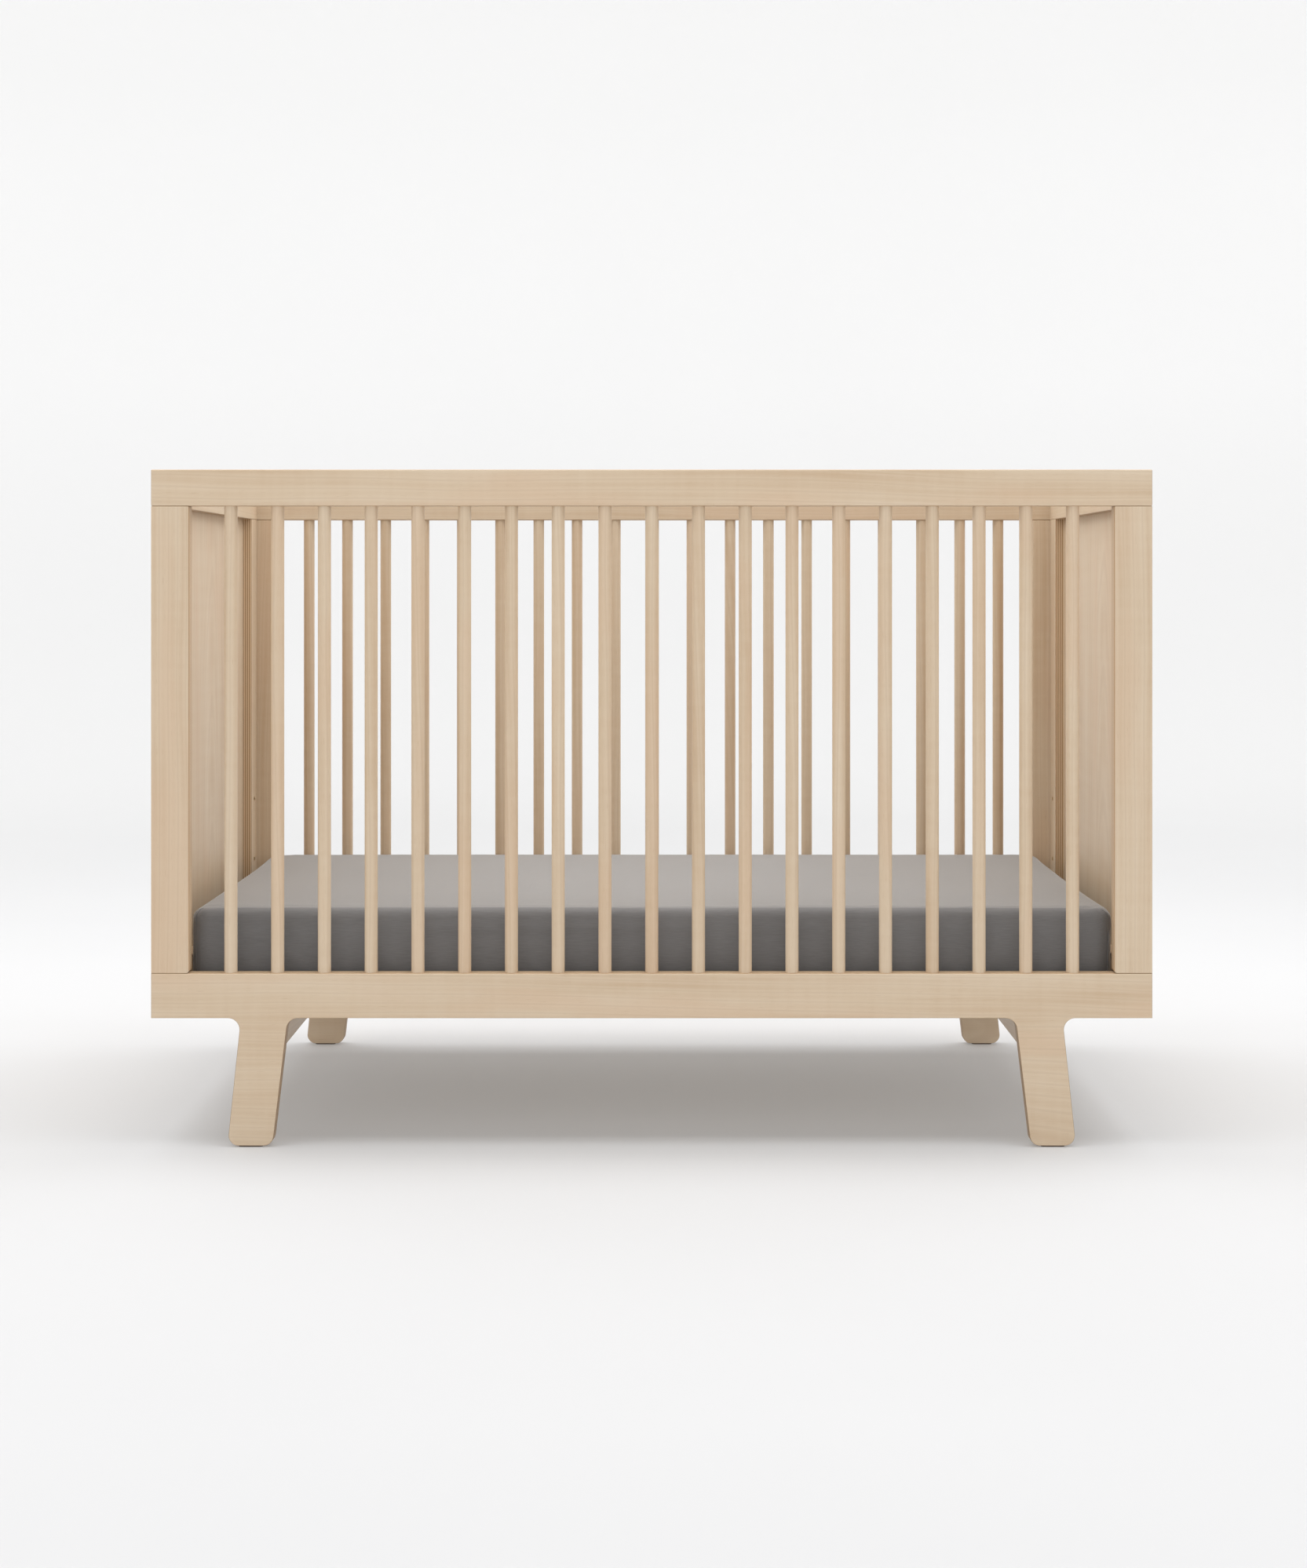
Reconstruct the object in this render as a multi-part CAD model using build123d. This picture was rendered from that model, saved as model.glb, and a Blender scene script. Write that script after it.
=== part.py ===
from build123d import *

import os

# Baby crib: fixed spindle sides, panelled ends, splayed legs and a hook-on mattress platform.
# Millimetres, +Z up. The origin is on the floor under the crib's centre. X runs along the crib's
# length, and the front side faces -Y. Each piece is made once, at the front or at the left, and
# its twins are mirror images of it.

# Overall size: the mattress space is the standard 1330 x 711 mm, walled by boards of one thickness
SPACE_X = 1330.0
SPACE_Y = 711.0
BOARD = 22.0
HEIGHT = 930.0
SOFT_EDGE = 1.5

HALF_X = SPACE_X / 2 + BOARD
HALF_Y = SPACE_Y / 2 + BOARD
WALL_X = SPACE_X / 2
WALL_Y = SPACE_Y / 2
END_X = WALL_X + BOARD / 2
SIDE_Y = WALL_Y + BOARD / 2

# Heights of the rails in the sides and the ends
TOP_RAIL_Z = 880.0
BOTTOM_RAIL_Z = 177.0
SILL_Z = 238.5

# Side posts and spindles
POST_WIDTH = 52.5
POST_ROUND = 3.0
POST_TOE_ROUND = 5.5
POST_END_CHAMFER = 0.8
SPINDLE_COUNT = 19
SPINDLE_RADIUS = 9.0
SPINDLE_TENON = 15.0
FIT_GAP = 0.05

# Splayed legs, cut in one board with the bottom rail; distances from the crib's centre
LEG_ROOT_IN = 499.3
LEG_ROOT_OUT = 563.9
LEG_TOE_IN = 520.2
LEG_TOE_OUT = 582.2
LEG_ROOT_ROUND = 16.0
LEG_TOE_ROUND = 14.0

# Glides under the feet
GLIDE_THICK = 2.0
GLIDE_X = (LEG_TOE_IN + LEG_TOE_OUT) / 2
GLIDE_LENGTH = 33.0
GLIDE_WIDTH = 16.0
GLIDE_CORNER = 5.0
GLIDE_PIN_RADIUS = 2.0
GLIDE_PIN_LENGTH = 12.0

# End posts and the thin panel set in grooves near the outer face
END_POST_WIDTH = 53.5
PANEL_X = WALL_X + 14.0
PANEL_THICK = 6.0
GROOVE_DEPTH = 8.0
PANEL_EDGE_GAP = 0.5
PANEL_SIDE_GAP = 0.05

# Stretchers between the front and back legs
STRETCHER_X = 517.0
STRETCHER_Z = (122.0, 170.0)

# Corner joinery: cams in the ends' outer faces pull on dowels screwed into the sides
CAM_SETBACK = 34.0
CAM_RADIUS = 7.5
CAM_DEPTH = 13.5
CAM_COVER = 1.4
CAM_COVER_CHAMFER = 0.4
CAM_HEIGHTS = (190.0, 480.0, 760.0, 905.0)
CAM_THREAD_RADIUS = 2.5
CAM_THREAD_LENGTH = 11.0
CAM_SHAFT_RADIUS = 3.0
CAM_SHAFT_BORE = 3.6
CAM_NECK_RADIUS = 1.8
CAM_NECK_LENGTH = 4.5
CAM_HEAD_RADIUS = 2.8
CAM_HEAD_LENGTH = 2.5
CAM_THROAT = 7.4
CAM_SLOT_LENGTH = 7.0
CAM_SLOT_WIDTH = 1.6
CAM_SLOT_DEPTH = 2.4
DOWEL_RADIUS = 4.0
DOWEL_LENGTH = 30.0
DOWEL_CHAMFER = 1.0
DOWEL_END_GAP = 0.5
SIDE_DOWEL_OFFSET = 12.0
END_DOWEL_YS = (315.0, 343.5)
STRETCHER_DOWEL_ZS = (134.0, 158.0)
STRETCHER_DOWEL_SHIFT = 4.0

# Countersunk screws of the slats and hooks
SCREW_RADIUS = 1.9
SINK_RADIUS = 3.6
DRIVE_RADIUS = 1.4
DRIVE_DEPTH = 1.2
SLAT_SCREW_LENGTH = 17.0
HOOK_SCREW_LENGTH = 15.0
PILOT_ROOM = 1.0

# Stretcher brackets
ANGLE_LEG = 24.0
ANGLE_THICK = 2.0
ANGLE_HEIGHT = 20.0
ANGLE_SCREWS = (8.0, 18.0)
ANGLE_SCREW_RADIUS = 1.8
ANGLE_SCREW_LENGTH = 14.0
ANGLE_HOLE_RADIUS = 2.0
PAN_HEAD_RADIUS = 3.3
PAN_HEAD_THICK = 2.0
PAN_HEAD_ROUND = 1.2

# Mattress platform: a flat frame with slats let into it
PLATFORM_Z = (177.0, 197.0)
PLATFORM_X = 657.0
PLATFORM_Y = 350.0
PLATFORM_RAIL = 40.0
SLAT_COUNT = 13
SLAT_WIDTH = 55.0
SLAT_THICK = 8.0
SLAT_SEAT = 20.0
SLAT_END_GAP = 0.5
BEARER_WIDTH = 40.0
PLATFORM_DOWEL_RADIUS = 3.0
PLATFORM_DOWEL_SHIFT = 10.0

# Hooks: steel angles on the platform that drop over studs in the ends
HOOK_Y = 328.75
HOOK_WIDTH = 38.0
HOOK_THICK = 2.5
HOOK_LEG = 42.0
HOOK_TOP_Z = 236.0
HOOK_CORNER = 6.0
HOOK_WALL_GAP = 0.5
HOOK_SCREW_XS = (632.0, 648.0)
STUD_Z = 215.0
STUD_STEP = 100.0
STUD_RADIUS = 3.0
STUD_HEAD_RADIUS = 5.5
STUD_HEAD_THICK = 3.2
STUD_HEAD_ROUND = 2.2
STUD_SOCKET = 2.0
STUD_IN_WALL = 11.0
STUD_LEVELS = 3
INSERT_RADIUS = 4.5
INSERT_LENGTH = 13.0
INSERT_RINGS = 5
INSERT_RING_DEPTH = 0.6
INSERT_RING_WIDTH = 1.6
SLOT_RADIUS = 3.4
MOUTH_WIDTH = 13.0
MOUTH_DEPTH = 10.5

# Mattress and the sheet stretched over it
MATTRESS_X = 641.0
MATTRESS_Y = 340.0
MATTRESS_Z = (PLATFORM_Z[1] + 0.3, 325.0)
MATTRESS_EDGE = 15.0
MATTRESS_CORNER = 28.0
SHEET_THICK = 1.5
SHEET_HEM = 70.0

UP = (0, 0, 1)
DOWN = (0, 0, -1)
BASE = (Align.CENTER, Align.CENTER, Align.MIN)
CORNERS = [(x, y) for x in (-1, 1) for y in (-1, 1)]


def bar(x, y, z):
    """Box from its (low, high) range along each axis."""
    ranges = (x, y, z)
    middle = [(low + high) / 2 for low, high in ranges]
    size = [high - low for low, high in ranges]
    return Pos(*middle) * Box(*size)


def rod(start, axis, radius, length):
    """Cylinder from a start point along an axis."""
    return Plane(origin=start, z_dir=axis) * Cylinder(radius, length, align=BASE)


def softened(board, axis=None):
    """Board with its edges eased: all of them, or those along one axis."""
    edges = board.edges() if axis is None else board.edges().filter_by(axis)
    return fillet(edges, SOFT_EDGE)


def drilled(board, cutters):
    """Board less the cutters that reach into it."""
    box = board.bounding_box()
    for cutter in cutters:
        tool = cutter.bounding_box()
        apart = tool.min.X >= box.max.X or tool.max.X <= box.min.X
        apart = apart or tool.min.Y >= box.max.Y or tool.max.Y <= box.min.Y
        apart = apart or tool.min.Z >= box.max.Z or tool.max.Z <= box.min.Z
        if not apart:
            board = board - cutter
    return board


def flipped(shape, plane):
    """Mirror image of a piece."""
    return mirror(shape, about=plane)


def to_back(shape):
    """The back twin of a front piece."""
    return flipped(shape, Plane.XZ)


def to_right(shape):
    """The right twin of a left piece."""
    return flipped(shape, Plane.YZ)


# Fasteners, each along +Z from the origin


def wood_dowel(radius):
    """Dowel centred on the joint plane, with its ends chamfered."""
    pin = Cylinder(radius, DOWEL_LENGTH)
    return chamfer(pin.edges().filter_by(GeomType.CIRCLE), DOWEL_CHAMFER)


def dowel_bore(radius):
    """Room for a dowel, a little deeper than it at both ends."""
    return Cylinder(radius + FIT_GAP, DOWEL_LENGTH + 2 * DOWEL_END_GAP)


def cam_dowel():
    """Screw-in dowel: thread below the joint plane, then shaft, neck and head."""
    thread = Pos(0, 0, -CAM_THREAD_LENGTH) * Cylinder(CAM_THREAD_RADIUS, CAM_THREAD_LENGTH, align=BASE)
    head_at = CAM_SETBACK - CAM_HEAD_LENGTH
    neck_at = head_at - CAM_NECK_LENGTH
    shaft = Cylinder(CAM_SHAFT_RADIUS, neck_at, align=BASE)
    neck = Pos(0, 0, neck_at) * Cylinder(CAM_NECK_RADIUS, CAM_NECK_LENGTH, align=BASE)
    head = Pos(0, 0, head_at) * Cylinder(CAM_HEAD_RADIUS, CAM_HEAD_LENGTH, align=BASE)
    return thread + shaft + neck + head


def cam_lock():
    """Round cam, its closed end down, with a throat for the dowel and a cross recess."""
    depth = CAM_DEPTH - CAM_COVER
    body = Cylinder(CAM_RADIUS - FIT_GAP, depth, align=BASE)
    dowel_at = CAM_DEPTH - BOARD / 2
    reach = CAM_RADIUS + CAM_HEAD_RADIUS + FIT_GAP
    throat = Pos(0, CAM_HEAD_RADIUS / 2 - CAM_RADIUS / 2, dowel_at) * Box(CAM_THROAT, reach, CAM_THROAT)
    cross = Box(CAM_SLOT_LENGTH, CAM_SLOT_WIDTH, CAM_SLOT_DEPTH)
    cross += Box(CAM_SLOT_WIDTH, CAM_SLOT_LENGTH, CAM_SLOT_DEPTH)
    return body - throat - Pos(0, 0, depth) * cross


def cam_cover():
    """Cap that closes the cam's bore flush with the board."""
    cap = Cylinder(CAM_RADIUS - FIT_GAP, CAM_COVER, align=BASE)
    rim = cap.faces().sort_by(Axis.Z)[-1].edges()
    return chamfer(rim, CAM_COVER_CHAMFER)


def countersink(length):
    """Room for a countersunk screw, its head's flat face at the origin and its shank along +Z."""
    head = Cone(SINK_RADIUS, SCREW_RADIUS, SINK_RADIUS - SCREW_RADIUS, align=BASE)
    return head + Cylinder(SCREW_RADIUS, length, align=BASE)


def countersunk_screw(length):
    """Wood screw that fills its countersink, with a drive recess."""
    return countersink(length) - Cylinder(DRIVE_RADIUS, DRIVE_DEPTH, align=BASE)


def pan_screw():
    """Bracket screw: its head stands on the origin plane, below its shank."""
    head = Pos(0, 0, -PAN_HEAD_THICK) * Cylinder(PAN_HEAD_RADIUS, PAN_HEAD_THICK, align=BASE)
    head = fillet(head.faces().sort_by(Axis.Z)[0].edges(), PAN_HEAD_ROUND)
    recess = Pos(0, 0, -PAN_HEAD_THICK) * Cylinder(DRIVE_RADIUS, DRIVE_DEPTH, align=BASE)
    return head + Cylinder(ANGLE_SCREW_RADIUS, ANGLE_SCREW_LENGTH, align=BASE) - recess


def insert():
    """Threaded insert, its mouth at the origin, with rings that grip the wood."""
    sleeve = Cylinder(INSERT_RADIUS - INSERT_RING_DEPTH, INSERT_LENGTH, align=BASE)
    pitch = (INSERT_LENGTH - INSERT_RING_WIDTH) / (INSERT_RINGS - 1)
    for ring in range(INSERT_RINGS):
        sleeve += Pos(0, 0, ring * pitch) * Cylinder(INSERT_RADIUS, INSERT_RING_WIDTH, align=BASE)
    return sleeve - Cylinder(STUD_RADIUS + FIT_GAP, INSERT_LENGTH, align=BASE)


def stud():
    """Hook stud: shank in the wall and through the hook, with a button head."""
    reach = 2 * HOOK_WALL_GAP + HOOK_THICK
    shank = Pos(0, 0, -reach) * Cylinder(STUD_RADIUS, reach + STUD_IN_WALL, align=BASE)
    tip = Pos(0, 0, -reach - STUD_HEAD_THICK)
    head = tip * Cylinder(STUD_HEAD_RADIUS, STUD_HEAD_THICK, align=BASE)
    head = fillet(head.faces().sort_by(Axis.Z)[0].edges(), STUD_HEAD_ROUND)
    socket = tip * extrude(RegularPolygon(STUD_SOCKET, 6), STUD_SOCKET)
    return shank + head - socket


def placed(fastener, seats):
    """One copy of a fastener at each seat (origin, direction)."""
    return [Plane(origin=origin, z_dir=axis) * fastener for origin, axis in seats]


# Where the fasteners sit: (origin, direction) for each

SIDE_POST_X = HALF_X - POST_WIDTH / 2
DOWEL_SEATS = []
for sx, sy in CORNERS:
    for z in (SILL_Z, TOP_RAIL_Z):
        for dx in (-SIDE_DOWEL_OFFSET, SIDE_DOWEL_OFFSET):
            DOWEL_SEATS.append(((sx * SIDE_POST_X + dx, sy * SIDE_Y, z), UP))
        for y in END_DOWEL_YS:
            DOWEL_SEATS.append(((sx * END_X, sy * y, z), UP))
    for z in STRETCHER_DOWEL_ZS:
        joint_y = sy * (WALL_Y - STRETCHER_DOWEL_SHIFT)
        DOWEL_SEATS.append(((sx * (STRETCHER_X + BOARD / 2), joint_y, z), (0, 1, 0)))

CAM_DOWEL_SEATS = [
    ((sx * END_X, sy * WALL_Y, z), (0, -sy, 0)) for sx, sy in CORNERS for z in CAM_HEIGHTS
]
INSERT_SEATS = [
    ((sx * WALL_X, sy * HOOK_Y, STUD_Z + level * STUD_STEP), (sx, 0, 0))
    for sx, sy in CORNERS
    for level in range(STUD_LEVELS)
]
STUD_SEATS = [seat for seat in INSERT_SEATS if seat[0][2] == STUD_Z]

ANGLE_Z = sum(STRETCHER_Z) / 2
STRETCHER_OUT_X = STRETCHER_X + BOARD
ANGLE_SCREW_SEATS = []
for sx, sy in CORNERS:
    for reach in ANGLE_SCREWS:
        on_stretcher = (sx * (STRETCHER_OUT_X + ANGLE_THICK), sy * (WALL_Y - reach), ANGLE_Z)
        on_leg = (sx * (STRETCHER_OUT_X + reach), sy * (WALL_Y - ANGLE_THICK), ANGLE_Z)
        ANGLE_SCREW_SEATS.append((on_stretcher, (-sx, 0, 0)))
        ANGLE_SCREW_SEATS.append((on_leg, (0, sy, 0)))

SLAT_SPAN = 2 * (PLATFORM_X - PLATFORM_RAIL)
SLAT_GAP = (SLAT_SPAN - SLAT_COUNT * SLAT_WIDTH) / (SLAT_COUNT + 1)
SLAT_XS = [
    -SLAT_SPAN / 2 + SLAT_GAP + SLAT_WIDTH / 2 + number * (SLAT_WIDTH + SLAT_GAP)
    for number in range(SLAT_COUNT)
]
SEAT_Y = PLATFORM_Y - PLATFORM_RAIL
SLAT_SCREW_YS = (-(SEAT_Y + SLAT_SEAT / 2), 0, SEAT_Y + SLAT_SEAT / 2)
SLAT_SCREW_SEATS = [((x, y, PLATFORM_Z[1]), DOWN) for x in SLAT_XS for y in SLAT_SCREW_YS]
HOOK_UNDER_Z = PLATFORM_Z[0] - HOOK_THICK
HOOK_SCREW_SEATS = [
    ((sx * x, sy * HOOK_Y, HOOK_UNDER_Z), UP) for sx, sy in CORNERS for x in HOOK_SCREW_XS
]

PLATFORM_DOWEL_SEATS = []
for sx, sy in CORNERS:
    for dx in (-PLATFORM_DOWEL_SHIFT, PLATFORM_DOWEL_SHIFT):
        x = sx * (PLATFORM_X - PLATFORM_RAIL / 2) + dx
        PLATFORM_DOWEL_SEATS.append(((x, sy * SEAT_Y, sum(PLATFORM_Z) / 2), (0, 1, 0)))
for sx in (-1, 1):
    bearer_z = (PLATFORM_Z[0] + PLATFORM_Z[1] - SLAT_THICK) / 2
    PLATFORM_DOWEL_SEATS.append(((sx * SLAT_SPAN / 2, 0, bearer_z), (1, 0, 0)))


# Cutters that the boards of the fixed frame share


def cam_cutters():
    """Bores for one end of each cam joint: pilot hole, shaft bore and the cam's pocket."""
    cutters = []
    for (x, y, z), axis in CAM_DOWEL_SEATS:
        outward = (0, -axis[1], 0)
        side = 1 if x > 0 else -1
        cutters.append(rod((x, y, z), outward, CAM_THREAD_RADIUS + FIT_GAP, CAM_THREAD_LENGTH))
        cutters.append(rod((x, y, z), axis, CAM_SHAFT_BORE, CAM_SETBACK))
        pocket = (side * HALF_X, y + axis[1] * CAM_SETBACK, z)
        cutters.append(rod(pocket, (-side, 0, 0), CAM_RADIUS, CAM_DEPTH))
    return cutters


def pilot_holes(seats, radius, length):
    """A bore at each seat, a little deeper than what goes in it."""
    return [rod(origin, axis, radius, length + PILOT_ROOM) for origin, axis in seats]


def cam_pieces(fastener, depth):
    """A cam or a cover in each pocket, its inner end at a depth below the board's outer face."""
    pieces = []
    for (x, y, z), axis in CAM_DOWEL_SEATS:
        side = 1 if x > 0 else -1
        origin = (side * (HALF_X - depth), y + axis[1] * CAM_SETBACK, z)
        throat = (0, axis[1], 0)
        seat = Plane(origin=origin, x_dir=Vector(throat).cross(Vector(side, 0, 0)), z_dir=(side, 0, 0))
        pieces.append(seat * fastener)
    return pieces


FRAME_CUTTERS = placed(dowel_bore(DOWEL_RADIUS), DOWEL_SEATS) + cam_cutters()
FRAME_CUTTERS += pilot_holes(INSERT_SEATS, INSERT_RADIUS, INSERT_LENGTH)
FRAME_CUTTERS += pilot_holes(ANGLE_SCREW_SEATS, ANGLE_SCREW_RADIUS, ANGLE_SCREW_LENGTH)
PLATFORM_CUTTERS = placed(dowel_bore(PLATFORM_DOWEL_RADIUS), PLATFORM_DOWEL_SEATS)
PLATFORM_CUTTERS += pilot_holes(SLAT_SCREW_SEATS, SCREW_RADIUS, SLAT_SCREW_LENGTH)
PLATFORM_CUTTERS += pilot_holes(HOOK_SCREW_SEATS, SCREW_RADIUS, HOOK_SCREW_LENGTH)


# Long sides


def spindle_xs():
    """Spindle centres, with equal gaps between them and beside the posts."""
    clear = 2 * (HALF_X - POST_WIDTH)
    gap = (clear - SPINDLE_COUNT * 2 * SPINDLE_RADIUS) / (SPINDLE_COUNT + 1)
    pitch = gap + 2 * SPINDLE_RADIUS
    return [(number - (SPINDLE_COUNT - 1) / 2) * pitch for number in range(SPINDLE_COUNT)]


def front_spindles():
    """Round spindles, their ends let into the rails."""
    length = TOP_RAIL_Z - SILL_Z + 2 * SPINDLE_TENON
    return [rod((x, -SIDE_Y, SILL_Z - SPINDLE_TENON), UP, SPINDLE_RADIUS, length) for x in spindle_xs()]


def spindle_sockets(z):
    """Sockets for the spindles' ends, above and below a rail's face."""
    depth = SPINDLE_TENON + FIT_GAP
    return [Pos(x, -SIDE_Y, z) * Cylinder(SPINDLE_RADIUS + FIT_GAP, 2 * depth) for x in spindle_xs()]


def front_top_rail():
    """Top rail of the front side, along its whole length."""
    rail = softened(bar((-HALF_X, HALF_X), (-HALF_Y, -WALL_Y), (TOP_RAIL_Z, HEIGHT)))
    return drilled(rail, spindle_sockets(TOP_RAIL_Z) + FRAME_CUTTERS)


def front_leg_rail():
    """Bottom rail with its two legs, one outline cut from a single board."""
    right = [
        (LEG_ROOT_IN, BOTTOM_RAIL_Z),
        (LEG_TOE_IN, GLIDE_THICK),
        (LEG_TOE_OUT, GLIDE_THICK),
        (LEG_ROOT_OUT, BOTTOM_RAIL_Z),
        (HALF_X, BOTTOM_RAIL_Z),
        (HALF_X, SILL_Z),
    ]
    left = [(-x, z) for x, z in reversed(right)]
    outline = make_face(Polyline(*right, *left, close=True))
    toes = outline.vertices().group_by(Axis.Y)[0]
    outline = fillet(toes, LEG_TOE_ROUND)
    under_rail = outline.vertices().filter_by_position(Axis.Y, BOTTOM_RAIL_Z - 1, BOTTOM_RAIL_Z + 1)
    roots = under_rail.filter_by(lambda vertex: abs(vertex.X) < HALF_X - 1)
    outline = fillet(roots, LEG_ROOT_ROUND)
    board = Pos(0, -WALL_Y, 0) * extrude(Plane.XZ * outline, BOARD)
    faces = board.faces().sort_by(Axis.Y)
    board = fillet(faces[0].edges() + faces[-1].edges(), SOFT_EDGE)
    return drilled(board, spindle_sockets(SILL_Z) + FRAME_CUTTERS + glide_bores())


def front_left_post():
    """Flat post: its edges beside the spindles are round, and so is its toe on the bottom rail."""
    plan = Pos(-SIDE_POST_X, -SIDE_Y) * Rectangle(POST_WIDTH, BOARD)
    inner = plan.vertices().group_by(Axis.X)[-1]
    plan = fillet(inner, POST_ROUND)
    outer = plan.vertices().group_by(Axis.X)[0]
    plan = fillet(outer, SOFT_EDGE)
    post = Pos(0, 0, SILL_Z) * extrude(plan, TOP_RAIL_Z - SILL_Z)
    ends = post.faces().sort_by(Axis.Z)
    post = chamfer(ends[0].edges() + ends[-1].edges(), POST_END_CHAMFER)
    middle = (SILL_Z + TOP_RAIL_Z) / 2
    view = Pos(-SIDE_POST_X, middle) * Rectangle(POST_WIDTH, TOP_RAIL_Z - SILL_Z)
    toe = view.vertices().group_by(Axis.Y)[0].sort_by(Axis.X)[-1]
    view = fillet(toe, POST_TOE_ROUND)
    post = post & extrude(Plane.XZ * view, 2 * HALF_Y, both=True)
    return drilled(post, FRAME_CUTTERS)


# Ends


def panel_block(edge_gap, side_gap):
    """The end panel, made larger by a gap at its edges and at its faces: the room for it."""
    reach_y = WALL_Y - END_POST_WIDTH + GROOVE_DEPTH - PANEL_EDGE_GAP + edge_gap
    low = SILL_Z - GROOVE_DEPTH + PANEL_EDGE_GAP - edge_gap
    high = TOP_RAIL_Z + GROOVE_DEPTH - PANEL_EDGE_GAP + edge_gap
    thick = (-PANEL_X - PANEL_THICK - side_gap, -PANEL_X + side_gap)
    return bar(thick, (-reach_y, reach_y), (low, high))


def left_end_board(y, z, along):
    """Board of the left end, grooved for the panel and bored for its joints."""
    board = softened(bar((-HALF_X, -WALL_X), y, z), along)
    return drilled(board - panel_block(PANEL_EDGE_GAP, PANEL_SIDE_GAP), FRAME_CUTTERS)


def left_end_top_rail():
    """Top rail of the left end."""
    return left_end_board((-WALL_Y, WALL_Y), (TOP_RAIL_Z, HEIGHT), Axis.Y)


def left_end_bottom_rail():
    """Bottom rail of the left end."""
    return left_end_board((-WALL_Y, WALL_Y), (BOTTOM_RAIL_Z, SILL_Z), Axis.Y)


def left_end_front_post():
    """Front post of the left end, between its rails."""
    return left_end_board((-WALL_Y, -WALL_Y + END_POST_WIDTH), (SILL_Z, TOP_RAIL_Z), Axis.Z)


def left_end_panel():
    """Thin panel in the grooves of the left end's posts and rails."""
    return panel_block(0, 0)


def left_leg_stretcher():
    """Stretcher from the front left leg to the back left one."""
    rail = softened(bar((-STRETCHER_OUT_X, -STRETCHER_X), (-WALL_Y, WALL_Y), STRETCHER_Z), Axis.Y)
    return drilled(rail, FRAME_CUTTERS)


def stretcher_angle():
    """Steel angle behind the front left leg, outside the stretcher."""
    low_x = -STRETCHER_OUT_X - ANGLE_LEG
    heights = (ANGLE_Z - ANGLE_HEIGHT / 2, ANGLE_Z + ANGLE_HEIGHT / 2)
    thick = (-STRETCHER_OUT_X - ANGLE_THICK, -STRETCHER_OUT_X)
    on_stretcher = bar(thick, (-WALL_Y, -WALL_Y + ANGLE_LEG), heights)
    on_leg = bar((low_x, -STRETCHER_OUT_X), (-WALL_Y, -WALL_Y + ANGLE_THICK), heights)
    holes = [rod(origin, axis, ANGLE_HOLE_RADIUS, ANGLE_THICK) for origin, axis in ANGLE_SCREW_SEATS]
    return drilled(on_stretcher + on_leg, holes)


# Feet


def glide_bores():
    """Bores for the glides' pins, up from the floor."""
    length = GLIDE_THICK + GLIDE_PIN_LENGTH
    return [rod((x, -SIDE_Y, 0), UP, GLIDE_PIN_RADIUS, length) for x in (-GLIDE_X, GLIDE_X)]


def front_left_glide():
    """Felt-faced glide with the pin that holds it in the leg."""
    plan = RectangleRounded(GLIDE_LENGTH, GLIDE_WIDTH, GLIDE_CORNER)
    sole = Pos(-GLIDE_X, -SIDE_Y, 0) * extrude(plan, GLIDE_THICK)
    return sole + glide_bores()[0]


# Mattress platform


def platform_front_rail():
    """Long rail of the platform, rebated for the ends of the slats."""
    rail = softened(bar((-PLATFORM_X, PLATFORM_X), (-PLATFORM_Y, -SEAT_Y), PLATFORM_Z))
    over_seat = (PLATFORM_Z[1] - SLAT_THICK, HEIGHT)
    seat = bar((-SLAT_SPAN / 2, SLAT_SPAN / 2), (-SEAT_Y - SLAT_SEAT, 0), over_seat)
    return drilled(rail - seat, PLATFORM_CUTTERS)


def platform_left_end_rail():
    """End rail of the platform, dowelled between the long ones."""
    rail = bar((-PLATFORM_X, -SLAT_SPAN / 2), (-SEAT_Y, SEAT_Y), PLATFORM_Z)
    return drilled(softened(rail, Axis.Y), PLATFORM_CUTTERS)


def platform_bearer():
    """Bearer under the middle of the slats."""
    heights = (PLATFORM_Z[0], PLATFORM_Z[1] - SLAT_THICK)
    width = (-BEARER_WIDTH / 2, BEARER_WIDTH / 2)
    beam = bar((-SLAT_SPAN / 2, SLAT_SPAN / 2), width, heights)
    return drilled(softened(beam, Axis.X), PLATFORM_CUTTERS)


def slat(x):
    """Slat let into the long rails, countersunk for its three screws."""
    reach = SEAT_Y + SLAT_SEAT - SLAT_END_GAP
    width = (x - SLAT_WIDTH / 2, x + SLAT_WIDTH / 2)
    board = bar(width, (-reach, reach), (PLATFORM_Z[1] - SLAT_THICK, PLATFORM_Z[1]))
    seats = [seat for seat in SLAT_SCREW_SEATS if seat[0][0] == x]
    return softened(board, Axis.Y) - placed(countersink(SLAT_THICK + 1), seats)


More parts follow.
